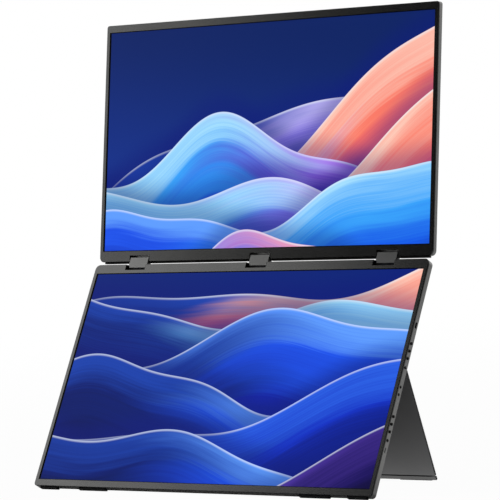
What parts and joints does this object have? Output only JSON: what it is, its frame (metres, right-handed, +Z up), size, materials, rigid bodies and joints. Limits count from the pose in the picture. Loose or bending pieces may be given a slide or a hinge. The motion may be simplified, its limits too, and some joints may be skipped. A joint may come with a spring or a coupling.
{
  "type": "dual portable monitor",
  "caption": "Folding portable monitor: stacked flat screens joined edge to edge by dual-axis hinge links, propped on a table by a rear kickstand, with side buttons and sockets.",
  "frame": {"origin": "on the table, under the middle of the object's box as it stands in the picture", "axes": "+Z up, +X to the viewer's right along the hinge axes, +Y away from the viewer, behind the screens"},
  "size_m": [0.3531, 0.1522, 0.3932],
  "materials": {
    "bezel_metal": "satin",
    "cover_metal": "satin",
    "screen_glass": "gloss",
    "acrylic": "gloss",
    "sheet_steel": "satin",
    "circuit_board": "satin",
    "hinge_steel": "satin",
    "screw_steel": "satin",
    "cable_film": "satin",
    "socket_steel": "satin",
    "speaker_plastic": "matte",
    "insert_brass": "satin",
    "light_pipe": "gloss",
    "switch_plastic": "matte",
    "button_plastic": "satin",
    "foot_rubber": "matte",
    "link_metal": "satin",
    "kickstand_metal": "satin",
    "rail_metal": "satin"
  },
  "bodies": {
    "lower_display": {"lower_front_bezel": "bezel_metal", "lower_screen_glass": "screen_glass", "lower_light_guide": "acrylic", "lower_panel_tray": "sheet_steel", "lower_panel_board": "circuit_board", "lower_hinge_brackets": "hinge_steel", "lower_hinge_pins": "hinge_steel", "lower_bracket_screws": "screw_steel", "lower_rear_cover": "cover_metal", "lower_flat_cable": "cable_film", "main_board": "circuit_board", "main_board_screws": "screw_steel", "usb_c_sockets": "socket_steel", "video_sockets": "socket_steel", "left_speaker": "speaker_plastic", "right_speaker": "speaker_plastic", "vesa_inserts": "insert_brass", "status_lights": "light_pipe", "button_board": "circuit_board", "tact_switches": "switch_plastic", "lock_plate": "hinge_steel", "corner_feet": "foot_rubber", "inner_feet": "foot_rubber", "kickstand_brackets": "hinge_steel", "kickstand_bracket_screws": "screw_steel", "kickstand_pins": "hinge_steel"},
    "hinge_links": {"hinge_link_left": "link_metal", "hinge_link_centre": "link_metal", "hinge_link_right": "link_metal"},
    "upper_display": {"upper_front_bezel": "bezel_metal", "upper_screen_glass": "screen_glass", "upper_light_guide": "acrylic", "upper_panel_tray": "sheet_steel", "upper_panel_board": "circuit_board", "upper_hinge_brackets": "hinge_steel", "upper_hinge_pins": "hinge_steel", "upper_bracket_screws": "screw_steel", "upper_rear_cover": "cover_metal", "upper_flat_cable": "cable_film", "upper_driver_board": "circuit_board", "upper_edge_strip": "foot_rubber"},
    "kickstand": {"kickstand_plate": "kickstand_metal", "kickstand_rail": "rail_metal", "kickstand_pads": "foot_rubber"},
    "upper_menu_button": {"upper_menu_button": "button_plastic"},
    "upper_plus_button": {"upper_plus_button": "button_plastic"},
    "upper_minus_button": {"upper_minus_button": "button_plastic"},
    "upper_power_button": {"upper_power_button": "button_plastic"},
    "lower_menu_button": {"lower_menu_button": "button_plastic"},
    "lower_plus_button": {"lower_plus_button": "button_plastic"},
    "lower_minus_button": {"lower_minus_button": "button_plastic"},
    "lower_power_button": {"lower_power_button": "button_plastic"}
  },
  "joints": [
    {"name": "link_hinge", "type": "hinge", "parent": "lower_display", "child": "hinge_links", "pos_m": [0, 0.0336, 0.18021], "axis": [1, 0, 0], "range_deg": [-65, 90]},
    {"name": "upper_hinge", "type": "hinge", "parent": "hinge_links", "child": "upper_display", "pos_m": [0, 0.03784, 0.18734], "axis": [1, 0, 0], "range_deg": [-91.1, 68.9]},
    {"name": "kickstand_hinge", "type": "hinge", "parent": "lower_display", "child": "kickstand", "pos_m": [0, -0.00725, 0.10491], "axis": [1, 0, 0], "range_deg": [-50.2, 20]},
    {"name": "upper_menu_button_press", "type": "slide", "parent": "lower_display", "child": "upper_menu_button", "axis": [-1, 0, 0], "range_m": [0, 0.00035], "stiffness_N_per_m": 3000},
    {"name": "upper_plus_button_press", "type": "slide", "parent": "lower_display", "child": "upper_plus_button", "axis": [-1, 0, 0], "range_m": [0, 0.00035], "stiffness_N_per_m": 3000},
    {"name": "upper_minus_button_press", "type": "slide", "parent": "lower_display", "child": "upper_minus_button", "axis": [-1, 0, 0], "range_m": [0, 0.00035], "stiffness_N_per_m": 3000},
    {"name": "upper_power_button_press", "type": "slide", "parent": "lower_display", "child": "upper_power_button", "axis": [-1, 0, 0], "range_m": [0, 0.00035], "stiffness_N_per_m": 3000},
    {"name": "lower_menu_button_press", "type": "slide", "parent": "lower_display", "child": "lower_menu_button", "axis": [-1, 0, 0], "range_m": [0, 0.00035], "stiffness_N_per_m": 3000},
    {"name": "lower_plus_button_press", "type": "slide", "parent": "lower_display", "child": "lower_plus_button", "axis": [-1, 0, 0], "range_m": [0, 0.00035], "stiffness_N_per_m": 3000},
    {"name": "lower_minus_button_press", "type": "slide", "parent": "lower_display", "child": "lower_minus_button", "axis": [-1, 0, 0], "range_m": [0, 0.00035], "stiffness_N_per_m": 3000},
    {"name": "lower_power_button_press", "type": "slide", "parent": "lower_display", "child": "lower_power_button", "axis": [-1, 0, 0], "range_m": [0, 0.00035], "stiffness_N_per_m": 3000}
  ]
}
